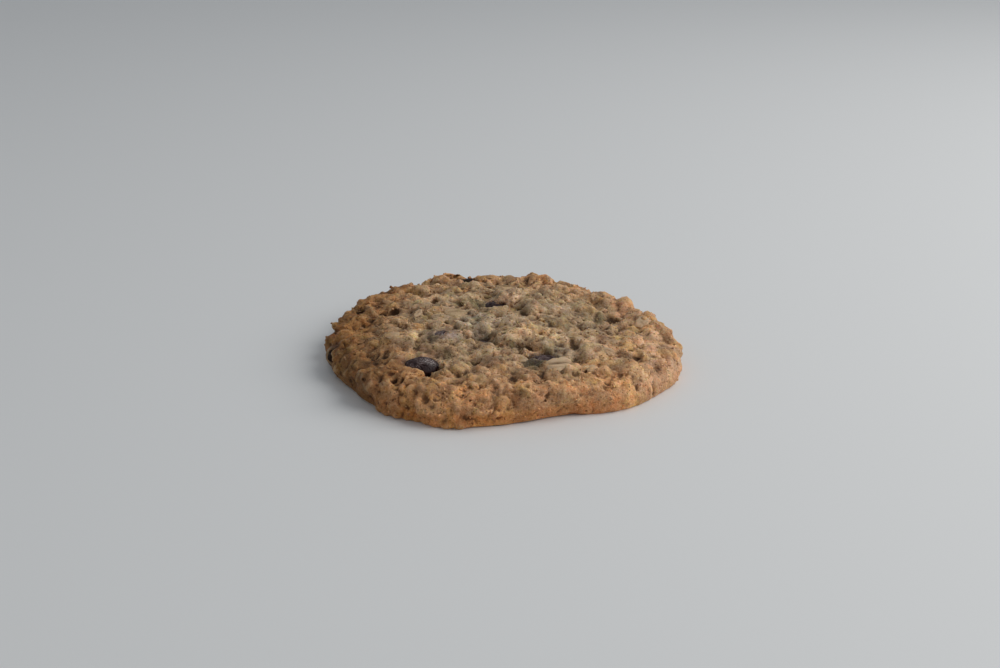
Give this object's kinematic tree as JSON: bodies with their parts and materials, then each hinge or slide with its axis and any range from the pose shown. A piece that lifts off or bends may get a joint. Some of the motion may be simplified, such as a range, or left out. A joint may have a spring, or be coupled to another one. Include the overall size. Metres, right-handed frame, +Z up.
{
  "type": "oatmeal raisin cookie",
  "caption": "Thick round oatmeal cookie with a craggy oat-flaked top, a rounded browned edge, a flat base and whole raisins baked in, to serve or display.",
  "frame": {"origin": "middle of the flat base, on the plane that the cookie rests on", "axes": "+Z up through the top, +X to the cookie's right across its greatest width, -Y towards its front edge"},
  "size_m": [0.1155, 0.1083, 0.0139],
  "materials": {
    "crust": "dry, porous baked oat crumb",
    "raisin": "dark wrinkled skin with a soft sheen"
  },
  "bodies": {
    "root": {"cookie": "crust", "raisin_front": "raisin", "raisin_back": "raisin", "raisin_left": "raisin", "raisin_right": "raisin", "raisin_middle": "raisin", "raisin_back_rim": "raisin", "raisin_left_edge": "raisin", "raisin_back_edge": "raisin"}
  },
  "joints": []
}
